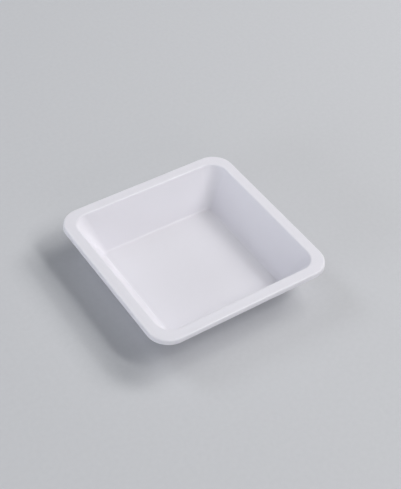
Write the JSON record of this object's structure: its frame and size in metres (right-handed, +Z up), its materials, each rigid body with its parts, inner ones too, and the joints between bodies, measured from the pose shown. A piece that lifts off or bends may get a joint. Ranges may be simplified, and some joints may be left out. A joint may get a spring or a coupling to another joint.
{
  "type": "weighing boat",
  "caption": "Square disposable weighing boat: a thin formed tray with a flat floor, leaning walls, a flat rim and a turned-down lip, for weighing and pouring powders.",
  "frame": {"origin": "middle of the underside of the floor, on the face that the boat rests on", "axes": "+Z up out of the well; +X and +Y square to the sides of the rim"},
  "size_m": [0.085, 0.085, 0.0173],
  "materials": {
    "white_polystyrene": "satin white polystyrene sheet, slightly cool"
  },
  "bodies": {
    "root": {"boat": "white_polystyrene"}
  },
  "joints": []
}
